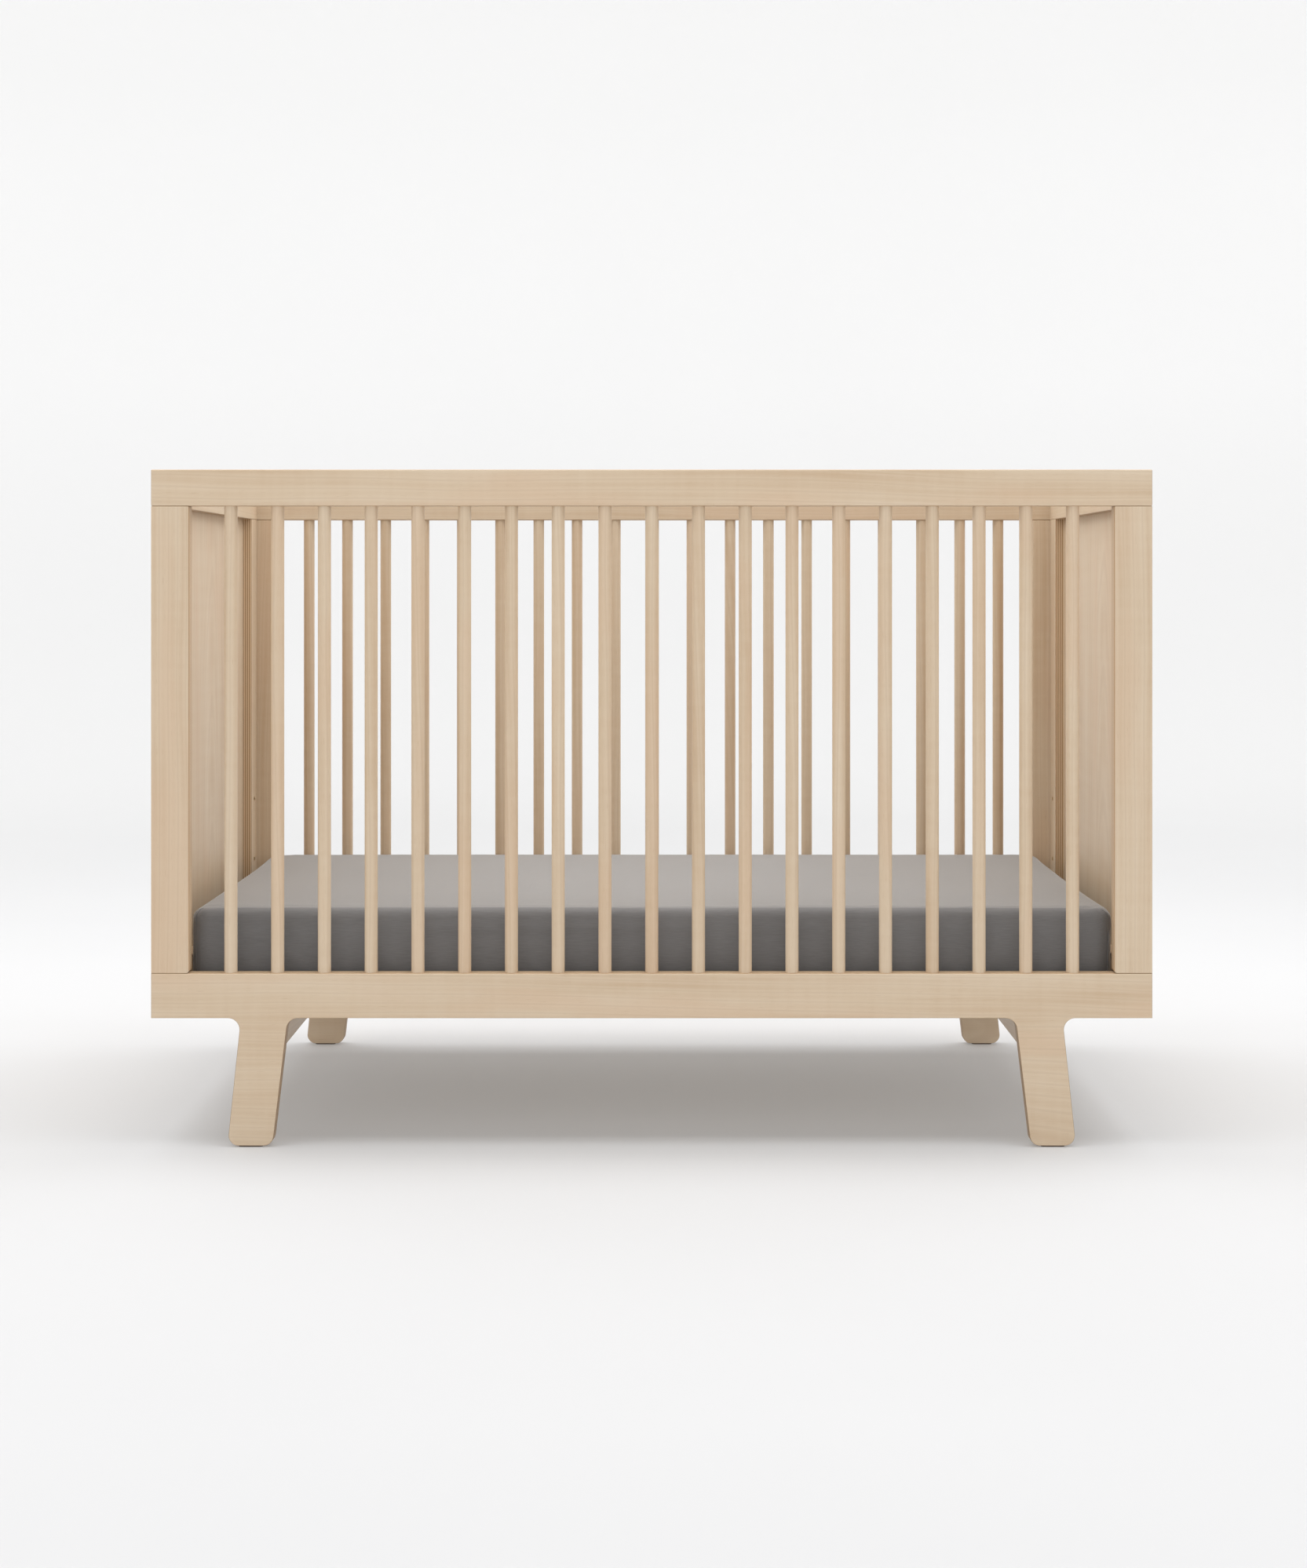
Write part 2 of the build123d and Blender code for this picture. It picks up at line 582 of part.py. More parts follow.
def front_left_hook():
    """Steel angle under the platform's corner, slotted to drop over its stud."""
    wall = -WALL_X + HOOK_WALL_GAP
    ys = (-HOOK_Y - HOOK_WIDTH / 2, -HOOK_Y + HOOK_WIDTH / 2)
    upright = bar((wall, wall + HOOK_THICK), ys, (HOOK_UNDER_Z, HOOK_TOP_Z))
    upper = upright.edges().filter_by(Axis.X).group_by(Axis.Z)[-1]
    upright = fillet(upper, HOOK_CORNER)
    shelf = bar((wall, wall + HOOK_LEG), ys, (HOOK_UNDER_Z, PLATFORM_Z[0]))
    tips = shelf.edges().filter_by(Axis.Z).group_by(Axis.X)[-1]
    shelf = fillet(tips, HOOK_CORNER)
    slot_ys = (-HOOK_Y - SLOT_RADIUS, -HOOK_Y + SLOT_RADIUS)
    slot = bar((wall - 1, wall + HOOK_THICK), slot_ys, (0, STUD_Z))
    slot += rod((wall - 1, -HOOK_Y, STUD_Z), (1, 0, 0), SLOT_RADIUS, HOOK_THICK + 1)
    mouth_ys = (-HOOK_Y - MOUTH_WIDTH / 2, -HOOK_Y + MOUTH_WIDTH / 2)
    mouth = bar((wall - 1, wall + MOUTH_DEPTH), mouth_ys, (0, PLATFORM_Z[0] + HOOK_THICK))
    screws = [seat for seat in HOOK_SCREW_SEATS if seat[0][0] < 0 and seat[0][1] < 0]
    return upright + shelf - slot - mouth - placed(countersink(HOOK_THICK), screws)


# Mattress


def pad(inset):
    """Mattress block with rounded corners and edges, made smaller all round by an inset."""
    x = MATTRESS_X - inset
    y = MATTRESS_Y - inset
    block = bar((-x, x), (-y, y), (MATTRESS_Z[0] + inset, MATTRESS_Z[1] - inset))
    block = fillet(block.edges().filter_by(Axis.Z), MATTRESS_CORNER - inset)
    faces = block.faces().sort_by(Axis.Z)
    return fillet(faces[0].edges() + faces[-1].edges(), MATTRESS_EDGE - inset)


def fitted_sheet():
    """Sheet wrapped over the mattress, with a hem under its edges."""
    x = MATTRESS_X - SHEET_HEM
    y = MATTRESS_Y - SHEET_HEM
    opening = bar((-x, x), (-y, y), (MATTRESS_Z[0] - 1, sum(MATTRESS_Z) / 2))
    opening = fillet(opening.edges().filter_by(Axis.Z), MATTRESS_CORNER)
    return pad(0) - pad(SHEET_THICK) - opening


def four_corners(shape):
    """Copies of a front left piece at all four corners."""
    left = [shape, to_back(shape)]
    return left + [to_right(piece) for piece in left]


def build():
    """Every node of the crib, by name."""
    nodes = {}

    def front_and_back(name, shape):
        nodes["front_" + name] = shape
        nodes["back_" + name] = to_back(shape)

    def left_and_right(name, shape):
        nodes["left_" + name] = shape
        nodes["right_" + name] = to_right(shape)

    def at_corners(name, shape):
        names = ("front_left_", "back_left_", "front_right_", "back_right_")
        for place, piece in zip(names, four_corners(shape)):
            nodes[place + name] = piece

    front_and_back("top_rail", front_top_rail())
    front_and_back("leg_rail", front_leg_rail())
    spindles = Compound(children=front_spindles())
    front_and_back("spindles", spindles)
    at_corners("post", front_left_post())

    left_and_right("end_top_rail", left_end_top_rail())
    left_and_right("end_bottom_rail", left_end_bottom_rail())
    left_and_right("end_panel", left_end_panel())
    end_post = left_end_front_post()
    left_and_right("end_front_post", end_post)
    left_and_right("end_back_post", to_back(end_post))
    left_and_right("leg_stretcher", left_leg_stretcher())

    front_rail = platform_front_rail()
    nodes["platform_front_rail"] = front_rail
    nodes["platform_back_rail"] = to_back(front_rail)
    end_rail = platform_left_end_rail()
    nodes["platform_left_end_rail"] = end_rail
    nodes["platform_right_end_rail"] = to_right(end_rail)
    nodes["platform_bearer"] = platform_bearer()
    for number, x in enumerate(SLAT_XS, start=1):
        nodes[f"slat_{number:02d}"] = slat(x)
    at_corners("hook", front_left_hook())

    nodes["mattress"] = pad(SHEET_THICK)
    nodes["fitted_sheet"] = fitted_sheet()

    groups = {
        "wood_dowels": placed(wood_dowel(DOWEL_RADIUS), DOWEL_SEATS),
        "cam_dowels": placed(cam_dowel(), CAM_DOWEL_SEATS),
        "cam_locks": cam_pieces(cam_lock(), CAM_DEPTH),
        "cam_covers": cam_pieces(cam_cover(), CAM_COVER),
        "threaded_inserts": placed(insert(), INSERT_SEATS),
        "support_studs": placed(stud(), STUD_SEATS),
        "stretcher_brackets": four_corners(stretcher_angle()),
        "stretcher_screws": placed(pan_screw(), ANGLE_SCREW_SEATS),
        "foot_glides": four_corners(front_left_glide()),
        "platform_dowels": placed(wood_dowel(PLATFORM_DOWEL_RADIUS), PLATFORM_DOWEL_SEATS),
        "slat_screws": placed(countersunk_screw(SLAT_SCREW_LENGTH), SLAT_SCREW_SEATS),
        "hook_screws": placed(countersunk_screw(HOOK_SCREW_LENGTH), HOOK_SCREW_SEATS),
    }
    for name, pieces in groups.items():
        nodes[name] = Compound(children=pieces)
    return nodes


os.makedirs("parts", exist_ok=True)
for name, shape in build().items():
    export_step(shape, f"parts/{name}.step")
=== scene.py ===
"""Looks of the baby crib: birch plywood boards, round spindles, steel hooks and a sheeted mattress."""

from math import cos, pi, radians, sin

import bmesh
import bpy
import numpy as np
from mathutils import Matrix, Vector, noise


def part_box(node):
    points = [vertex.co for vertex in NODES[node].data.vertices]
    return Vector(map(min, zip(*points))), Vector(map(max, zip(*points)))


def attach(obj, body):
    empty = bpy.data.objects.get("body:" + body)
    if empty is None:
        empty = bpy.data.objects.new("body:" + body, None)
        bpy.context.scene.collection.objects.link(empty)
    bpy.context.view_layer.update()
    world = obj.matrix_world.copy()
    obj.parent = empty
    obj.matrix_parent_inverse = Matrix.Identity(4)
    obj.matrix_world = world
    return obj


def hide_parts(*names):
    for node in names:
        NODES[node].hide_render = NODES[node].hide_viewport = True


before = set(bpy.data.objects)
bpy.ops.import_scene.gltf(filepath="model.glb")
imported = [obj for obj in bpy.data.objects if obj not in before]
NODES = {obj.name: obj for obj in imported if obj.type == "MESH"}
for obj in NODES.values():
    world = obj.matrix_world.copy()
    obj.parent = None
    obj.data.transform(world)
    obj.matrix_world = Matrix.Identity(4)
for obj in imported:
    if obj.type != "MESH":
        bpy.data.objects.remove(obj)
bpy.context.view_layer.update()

MM = 0.001
AXES = "XYZ"


# Node graphs


class Graph:
    """A node material that is built by short calls. A value is a number, a vector or a socket."""

    def __init__(self, name):
        self.material = bpy.data.materials.new(name)
        self.material.use_nodes = True
        self.tree = self.material.node_tree
        self.shader = self.tree.nodes["Principled BSDF"]
        coordinates = self.tree.nodes.new("ShaderNodeTexCoord")
        self.place = coordinates.outputs["Object"]
        self.normal = coordinates.outputs["Normal"]

    def feed(self, socket, value):
        """Links a socket to the input, or sets the input's own value."""
        if isinstance(value, bpy.types.NodeSocket):
            self.tree.links.new(value, socket)
        else:
            socket.default_value = value

    def math(self, operation, *values):
        """A Math node."""
        node = self.tree.nodes.new("ShaderNodeMath")
        node.operation = operation
        for socket, value in zip(node.inputs, values):
            self.feed(socket, value)
        return node.outputs[0]

    def times(self, first, second):
        return self.math("MULTIPLY", first, second)

    def total(self, *values):
        result = values[0]
        for value in values[1:]:
            result = self.math("ADD", result, value)
        return result

    def wave(self, turns):
        """Sine of a number of turns."""
        return self.math("SINE", self.times(turns, 2 * pi))

    def half_up(self, value):
        """A value of -1 to 1, moved to 0 to 1."""
        return self.math("MULTIPLY_ADD", value, 0.5, 0.5)

    def split(self, vector):
        """The vector's x, y and z."""
        node = self.tree.nodes.new("ShaderNodeSeparateXYZ")
        self.feed(node.inputs[0], vector)
        return list(node.outputs)

    def at(self, axis):
        """Place on an axis, in metres."""
        return self.split(self.place)[AXES.index(axis)]

    def facing(self, axis):
        """How squarely the surface faces along an axis, 0 to 1."""
        return self.math("ABSOLUTE", self.split(self.normal)[AXES.index(axis)])

    def join(self, x, y, z):
        """A vector from three values."""
        node = self.tree.nodes.new("ShaderNodeCombineXYZ")
        for socket, value in zip(node.inputs, (x, y, z)):
            self.feed(socket, value)
        return node.outputs[0]

    def noise(self, vector, scale=1.0, detail=2.0, rough=0.5):
        """Noise with a mean of about 0.5."""
        node = self.tree.nodes.new("ShaderNodeTexNoise")
        self.feed(node.inputs["Vector"], vector)
        node.inputs["Scale"].default_value = scale
        node.inputs["Detail"].default_value = detail
        node.inputs["Roughness"].default_value = rough
        return node.outputs["Fac"]

    def random(self, value):
        """A random number from 0 to 1 for each whole value."""
        node = self.tree.nodes.new("ShaderNodeTexWhiteNoise")
        node.noise_dimensions = "1D"
        self.feed(node.inputs["W"], value)
        return node.outputs["Value"]

    def step(self, value, low, high):
        """Smooth step from 0 at low to 1 at high."""
        node = self.tree.nodes.new("ShaderNodeMapRange")
        node.interpolation_type = "SMOOTHSTEP"
        self.feed(node.inputs["Value"], value)
        node.inputs["From Min"].default_value = low
        node.inputs["From Max"].default_value = high
        return node.outputs["Result"]

    def scaled(self, value, low, high):
        """Straight map of 0 to 1 onto low to high."""
        node = self.tree.nodes.new("ShaderNodeMapRange")
        self.feed(node.inputs["Value"], value)
        node.inputs["To Min"].default_value = low
        node.inputs["To Max"].default_value = high
        return node.outputs["Result"]

    def mix(self, share, first, second):
        """Mix of two colours."""
        node = self.tree.nodes.new("ShaderNodeMix")
        node.data_type = "RGBA"
        self.feed(node.inputs["Factor"], share)
        self.feed(node.inputs["A"], first)
        self.feed(node.inputs["B"], second)
        return node.outputs["Result"]

    def ramp(self, share, *stops):
        """Colour ramp through stops, each a position and a colour."""
        node = self.tree.nodes.new("ShaderNodeValToRGB")
        self.feed(node.inputs[0], share)
        elements = node.color_ramp.elements
        while len(elements) < len(stops):
            elements.new(0.5)
        for element, (position, shade) in zip(elements, stops):
            element.position = position
            element.color = shade
        return node.outputs[0]

    def bump(self, height, depth, strength=1.0, under=None):
        """Bump from a height of 0 to 1 that stands for a depth in metres."""
        node = self.tree.nodes.new("ShaderNodeBump")
        node.inputs["Strength"].default_value = strength
        node.inputs["Distance"].default_value = depth
        self.feed(node.inputs["Height"], height)
        if under is not None:
            self.feed(node.inputs["Normal"], under)
        return node.outputs[0]

    def finish(self, **sockets):
        """Sets the shader's sockets, by name with _ for a space, and returns the material."""
        for name, value in sockets.items():
            self.feed(self.shader.inputs[name.replace("_", " ")], value)
        return self.material


def colour(red, green, blue):
    """Scene linear colour from display values of 0 to 255."""
    def linear(value):
        share = value / 255
        return share / 12.92 if share <= 0.04045 else ((share + 0.055) / 1.055) ** 2.4

    return (linear(red), linear(green), linear(blue), 1.0)


def scaled_colour(shade, factor):
    """A colour made lighter or darker, up to white."""
    return tuple(min(1.0, factor * value) for value in shade[:3]) + (1.0,)


# Birch

BIRCH_PALE = colour(215, 197, 173)
BIRCH_MID = colour(208, 187, 160)
BIRCH_WARM = colour(197, 171, 141)
BIRCH_LINE = colour(176, 145, 112)
BIRCH_PINK = colour(208, 180, 151)
PLY_LONG = colour(222, 199, 166)
PLY_END = colour(164, 126, 88)
END_GRAIN = colour(112, 82, 54)
GLUE = colour(120, 84, 56)
END_SHARE = 0.45
SPINDLE_END_SHARE = 0.55
# Painted shade: the back side's boards and spindles are made darker, standing in for the lesser light that
# reaches them
BACK_PAINTED_SHADE = -0.06
PLATFORM_TONE = -0.04
SLAT_TONE = -0.05
DOWEL_TONE = -0.1
PLY_PERIOD = 22 * MM / 6.5
GRAIN_DEPTH = 0.10 * MM

# Noise in the grain: features per metre along it and across it, and a number that keeps each noise apart
WANDER = (1.3, 5.0, 3.0)
BROAD = (2.0, 24.0, 1.0)
FLAME = (3.2, 15.0, 21.0)
FINE = (5.0, 520.0, 5.0)
PORES = (60.0, 1900.0, 8.0)
RIPPLE = (75.0, 7.0, 9.0)
UNEVEN = (1.0, 9.0, 11.0)
WANDER_WIDTH = 30 * MM

# Year rings: a leaning cone, cut by the face
RING_WIDTH = 13 * MM
RING_UNEVEN = 9.0
CONE_SLOPE = 0.075
CONE_RADIUS = 90 * MM
CONE_SPREAD = 30 * MM
CONE_OFFSET = 50 * MM

# How much each part of the grain counts in its tone
BROAD_SHARE = 0.66
FINE_SHARE = 0.19
ARCH_SHARE = 0.12
RIPPLE_SHARE = 0.14
TONE_BASE = 0.06


class Grain:
    """Birch figure in a board whose grain runs along one axis."""

    def __init__(self, graph, along, across, seed, shift=0.0):
        self.graph = g = graph
        through = next(axis for axis in AXES if axis not in along + across)
        self.along = g.at(along)
        self.across = g.total(g.at(across), shift)
        self.depth = g.at(through)
        self.seed = seed
        wander = self.stretched(*WANDER, detail=2.0)
        self.bent = g.math("MULTIPLY_ADD", wander, WANDER_WIDTH, self.across)

    def stretched(self, along, across, salt, detail=3.0, rough=0.55, bent=False):
        """Noise with so many features per metre along and across the grain."""
        g = self.graph
        side = self.bent if bent else self.across
        x = g.math("MULTIPLY_ADD", self.along, along, self.seed * 7.3 + salt)
        y = g.math("MULTIPLY_ADD", side, across, self.seed * 3.1)
        z = g.math("MULTIPLY_ADD", self.depth, across, salt)
        return g.noise(g.join(x, y, z), detail=detail, rough=rough)

    def arches(self):
        """Faint cathedral arches, as a plane cuts them from a leaning cone of year rings."""
        g = self.graph
        centre = CONE_OFFSET * sin(self.seed * 2.4)
        lean = g.math("MULTIPLY_ADD", self.along, CONE_SLOPE, CONE_RADIUS + CONE_SPREAD * cos(self.seed))
        side = g.math("SUBTRACT", self.bent, centre)
        radius = g.math("SQRT", g.math("MULTIPLY_ADD", side, side, g.times(lean, lean)))
        uneven = self.stretched(*UNEVEN, detail=1.0)
        angle = g.math("MULTIPLY_ADD", radius, 2 * pi / RING_WIDTH, g.times(uneven, RING_UNEVEN))
        return g.half_up(g.math("SINE", angle))

    def colours(self, tone):
        """Face colour, and the height of its fine grain."""
        g = self.graph
        broad = self.stretched(*BROAD, bent=True)
        flame = self.stretched(*FLAME, detail=2.0, bent=True)
        fine = self.stretched(*FINE, detail=4.0, rough=0.6, bent=True)
        pores = self.stretched(*PORES, detail=1.0)
        ripple = self.stretched(*RIPPLE, detail=1.0)
        arches = self.arches()
        light = g.total(g.times(broad, BROAD_SHARE), g.times(fine, FINE_SHARE), g.times(arches, ARCH_SHARE),
                        g.times(ripple, RIPPLE_SHARE), TONE_BASE, tone)
        face = g.ramp(light, (0.36, BIRCH_WARM), (0.60, BIRCH_MID), (0.84, BIRCH_PALE))
        face = g.mix(g.times(g.step(flame, 0.46, 0.66), 0.45), face, BIRCH_PINK)
        flecks = g.times(g.step(pores, 0.64, 0.74), 0.30)
        lines = g.times(g.step(arches, 0.86, 1.0), 0.16)
        face = g.mix(g.math("MAXIMUM", flecks, lines), face, BIRCH_LINE)
        return face, g.math("SUBTRACT", fine, g.times(flecks, 0.8))


def ply_edges(g, thick, origin, face):
    """Face colour with glued plies on the board's edges, and where a dark ply lies."""
    edge = g.math("SUBTRACT", 1.0, g.step(g.facing(thick), 0.62, 0.86))
    waver = g.times(g.noise(g.place, scale=14.0, detail=1.0), 0.16)
    plies_in = g.math("DIVIDE", g.math("SUBTRACT", g.at(thick), origin), PLY_PERIOD)
    wave = g.wave(g.total(plies_in, waver))
    end_ply = g.step(wave, -0.25, 0.45)
    grit = g.noise(g.place, scale=900.0, detail=2.0)
    long_ply = g.mix(g.times(grit, 0.5), PLY_LONG, BIRCH_WARM)
    dark_ply = g.mix(g.times(grit, 0.7), PLY_END, BIRCH_LINE)
    plies = g.mix(end_ply, long_ply, dark_ply)
    glue = g.times(g.step(g.math("ABSOLUTE", g.total(wave, -0.1)), 0.22, 0.0), 0.35)
    plies = g.mix(glue, plies, GLUE)
    return g.mix(edge, face, plies), g.times(edge, end_ply)


def plywood(name, along, thick, seed, origin, tone):
    """Lacquered birch plywood board: grain along one axis, plies stacked along another."""
    g = Graph(name)
    across = next(axis for axis in AXES if axis not in along + thick)
    face, height = Grain(g, along, across, seed).colours(tone)
    shown, end_ply = ply_edges(g, thick, origin, face)
    cut = g.step(g.facing(along), 0.45, 0.62)
    shown = g.mix(g.times(cut, END_SHARE), shown, END_GRAIN)
    rough = g.total(g.scaled(height, 0.40, 0.52), g.times(end_ply, 0.14))
    normal = g.bump(g.math("SUBTRACT", height, g.times(end_ply, 0.6)), GRAIN_DEPTH, 0.55)
    return g.finish(Base_Color=shown, Roughness=rough, Normal=normal, Specular_IOR_Level=0.42,
                    Coat_Weight=0.10, Coat_Roughness=0.35)


def solid_birch(name, along, across, seed, pitch, first, tone=0.0, lacquer=0.10):
    """Solid birch for a row of like pieces: each has its own tone and its own stretch of grain."""
    g = Graph(name)
    number = g.math("ROUND", g.math("DIVIDE", g.math("SUBTRACT", g.at(across), first), pitch))
    chance = g.random(g.total(number, seed * 17.0))
    grain = Grain(g, along, across, seed, shift=g.times(chance, 5.0))
    own_tone = g.total(g.scaled(chance, -0.07, 0.07), tone)
    face, height = grain.colours(own_tone)
    ends = g.step(g.facing(along), 0.7, 0.9)
    face = g.mix(g.times(ends, SPINDLE_END_SHARE), face, BIRCH_LINE)
    normal = g.bump(height, GRAIN_DEPTH, 0.5)
    return g.finish(Base_Color=face, Roughness=g.scaled(height, 0.40, 0.54), Normal=normal,
                    Specular_IOR_Level=0.42, Coat_Weight=lacquer, Coat_Roughness=0.35)


# Metals, plastic and felt


def metal(name, shade, rough):
    """Plated metal with a cloudy tone and fine scratches along y."""
    g = Graph(name)
    cloud = g.noise(g.place, scale=60.0, detail=3.0)
    x, y, z = g.split(g.place)
    scratch = g.noise(g.join(g.times(x, 900.0), g.times(y, 60.0), g.times(z, 900.0)), detail=2.0)
    tone = g.mix(g.scaled(cloud, 0.1, 0.8), shade, scaled_colour(shade, 0.72))
    return g.finish(Base_Color=tone, Metallic=1.0, Roughness=g.scaled(scratch, rough - 0.08, rough + 0.12),
                    Normal=g.bump(scratch, 0.03 * MM, 0.5))


def powder_coat(name, shade):
    """Baked powder coat with a fine orange-peel surface."""
    g = Graph(name)
    peel = g.noise(g.place, scale=1400.0, detail=1.0)
    cloud = g.noise(g.place, scale=25.0, detail=2.0)
    tone = g.mix(cloud, shade, scaled_colour(shade, 0.86))
    return g.finish(Base_Color=tone, Roughness=g.scaled(cloud, 0.42, 0.55),
                    Normal=g.bump(peel, 0.05 * MM, 0.4))


def moulded(name, shade):
    """Matt moulded plastic with a fine spark texture."""
    g = Graph(name)
    spark = g.noise(g.place, scale=2600.0, detail=1.0)
    cloud = g.noise(g.place, scale=90.0, detail=1.0)
    tone = g.mix(cloud, shade, scaled_colour(shade, 0.9))
    return g.finish(Base_Color=tone, Roughness=g.scaled(spark, 0.45, 0.62),
                    Normal=g.bump(spark, 0.04 * MM, 0.5))


def felt(name, shade):
    """Pressed felt: tangled fibres, lighter on top."""
    g = Graph(name)
    fibres = g.noise(g.place, scale=2200.0, detail=4.0, rough=0.7)
    tone = g.mix(fibres, shade, scaled_colour(shade, 1.9))
    return g.finish(Base_Color=tone, Roughness=0.95, Sheen_Weight=0.3,
                    Normal=g.bump(fibres, 0.25 * MM, 0.8))


# Cloth

THREAD = 0.75 * MM
TWILL = 1.6 * MM


def jersey(name, shade, deep):
    """Brushed cotton sheet: fine weave, slubs and soft sheen."""
    g = Graph(name)
    x, y, z = g.split(g.place)
    warp = g.wave(g.math("DIVIDE", g.total(x, g.times(z, 0.9)), THREAD))
    weft = g.wave(g.math("DIVIDE", g.total(y, g.times(z, 0.4)), THREAD))
    weave = g.half_up(g.times(warp, weft))
    slub = g.noise(g.join(g.times(x, 60.0), g.times(y, 900.0), g.times(z, 900.0)), detail=3.0)
    cloud = g.noise(g.place, scale=5.0, detail=3.0)
    share = g.total(g.times(slub, 0.5), g.times(cloud, 0.35), g.times(weave, 0.25))
    tone = g.ramp(share, (0.30, deep), (0.80, shade))
    fuzz = g.noise(g.place, scale=1500.0, detail=3.0)
    normal = g.bump(weave, 0.12 * MM, 0.35, under=g.bump(fuzz, 0.15 * MM, 0.3))
    return g.finish(Base_Color=tone, Roughness=0.88, Normal=normal, Sheen_Weight=0.7,
                    Sheen_Roughness=0.4, Specular_IOR_Level=0.25)


def ticking(name, shade, deep):
    """Mattress ticking in a close twill."""
    g = Graph(name)
    slant = g.wave(g.math("DIVIDE", g.total(*g.split(g.place)), TWILL))
    cloud = g.noise(g.place, scale=9.0, detail=3.0)
    share = g.total(g.times(slant, 0.18), g.times(cloud, 0.5), 0.22)
    tone = g.ramp(share, (0.2, deep), (0.75, shade))
    return g.finish(Base_Color=tone, Roughness=0.9, Sheen_Weight=0.2,
                    Normal=g.bump(g.half_up(slant), 0.15 * MM, 0.5))


# Materials on the CAD nodes

SPINDLE_COUNT = 19
SLAT_COUNT = 13


def dress(node, material):
    """The node's only material."""
    mesh = NODES[node].data
    mesh.materials.clear()
    mesh.materials.append(material)
    for polygon in mesh.polygons:
        polygon.material_index = 0


def centre_of(node):
    """Middle of the node's box."""
    low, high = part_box(node)
    return (low + high) / 2


def dress_boards():
    """Each plywood board has its own grain, along its length."""
    boards = []
    for side in ("front", "back"):
        boards += [(side + "_top_rail", "X", "Y"), (side + "_leg_rail", "X", "Y")]
        boards += [(f"{side}_{hand}_post", "Z", "Y") for hand in ("left", "right")]
    for side in ("left", "right"):
        boards += [(side + "_end_top_rail", "Y", "X"), (side + "_end_bottom_rail", "Y", "X")]
        boards += [(f"{side}_end_{place}_post", "Z", "X") for place in ("front", "back")]
        boards += [(side + "_leg_stretcher", "Y", "X"), (side + "_end_panel", "Z", "X")]
    for seed, (node, along, thick) in enumerate(boards, start=1):
        origin = centre_of(node)[AXES.index(thick)]
        # Painted shade on the back side's boards
        tone = BACK_PAINTED_SHADE if node.startswith("back_") else 0.0
        dress(node, plywood("birch_" + node, along, thick, seed, origin, tone))


def dress_solid_wood():
    """Spindles, slats and the platform's rails are solid birch."""
    for seed, side in enumerate(("front", "back"), start=31):
        low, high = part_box(side + "_spindles")
        width = high.y - low.y
        pitch = (high.x - low.x - width) / (SPINDLE_COUNT - 1)
        # Painted shade on the back spindles
        tone = BACK_PAINTED_SHADE if side == "back" else 0.0
        dress(side + "_spindles", solid_birch("birch_" + side + "_spindles", "Z", "X", seed, pitch,
                                              low.x + width / 2, tone))
    first, second = centre_of("slat_01").x, centre_of("slat_02").x
    slat_wood = solid_birch("birch_slats", "Y", "X", 41, second - first, first, SLAT_TONE, lacquer=0.0)
    for number in range(1, SLAT_COUNT + 1):
        dress(f"slat_{number:02d}", slat_wood)
    rails = solid_birch("birch_platform_rails", "X", "Y", 43, 0.3, 0.0, PLATFORM_TONE, lacquer=0.0)
    for node in ("platform_front_rail", "platform_back_rail", "platform_bearer"):
        dress(node, rails)
    ends = solid_birch("birch_platform_ends", "Y", "X", 45, 0.6, 0.0, PLATFORM_TONE, lacquer=0.0)
    for node in ("platform_left_end_rail", "platform_right_end_rail"):
        dress(node, ends)
    dowels = solid_birch("birch_dowels", "Z", "X", 47, 0.02, 0.0, DOWEL_TONE, lacquer=0.0)
    for node in ("wood_dowels", "platform_dowels"):
        dress(node, dowels)


def dress_hardware():
    """Plated steel, coated hooks, brass inserts, plastic covers and felt glides."""
    zinc = metal("zinc_plate", colour(196, 197, 196), 0.34)
    for node in ("cam_dowels", "cam_locks", "stretcher_brackets", "stretcher_screws", "support_studs",
                 "slat_screws", "hook_screws"):
        dress(node, zinc)
    coat = powder_coat("hook_coat", colour(214, 211, 204))
    for end in ("front_left", "front_right", "back_left", "back_right"):
        dress(end + "_hook", coat)
    dress("threaded_inserts", metal("insert_brass", colour(206, 170, 96), 0.28))
    dress("cam_covers", moulded("cover_plastic", colour(214, 192, 160)))
    dress("foot_glides", felt("glide_felt", colour(84, 74, 64)))


# Mattress and sheet

HEM = 70 * MM
HEM_CORNER = 62 * MM
SHEET_THICK = 1.5 * MM
SHEET_AIR = 0.3 * MM
EDGE_ROUND = 15 * MM
CORNER_ROUND = 28 * MM
CORNER_STEPS = 6
LONG_STEPS = 122
SHORT_STEPS = 62
ROUND_STEPS = 4
SIDE_STEPS = 10
HEM_STEPS = 8
RUNS = (LONG_STEPS, SHORT_STEPS, LONG_STEPS, SHORT_STEPS)
RING_COUNT = sum(RUNS) + 4 * CORNER_STEPS
CROWN_DROP = 3.5 * MM
END_DRAW = 6.5 * MM
SIDE_DRAW = 3.5 * MM
SLACK = 1.1 * MM
QUILT = 96 * MM
QUILT_DEPTH = 2.5 * MM
QUILT_FADE = 30 * MM
HEM_ROOM = 2.8 * MM
GATHER = 0.8 * MM
HEM_LIFT = 0.2 * MM
ELASTIC = (3.5 * MM, 0.8 * MM)
SEAM = (0.9 * MM, 0.8 * MM)
STRIP_SIDES = 8
CLOTH_GAP = 1.0 * MM
CLOTH_SHRINK = -0.006
CLOTH_STIFFNESS = 20
SETTLE_FRAMES = 18
MOVE_CAP = 5 * MM


def new_object(name, vertices, faces, material):
    """A smooth mesh object, linked to the scene."""
    mesh = bpy.data.meshes.new(name)
    mesh.from_pydata([tuple(vertex) for vertex in vertices], [], faces)
    mesh.update()
    mesh.polygons.foreach_set("use_smooth", [True] * len(mesh.polygons))
    mesh.materials.append(material)
    made = bpy.data.objects.new(name, mesh)
    bpy.context.scene.collection.objects.link(made)
    return made


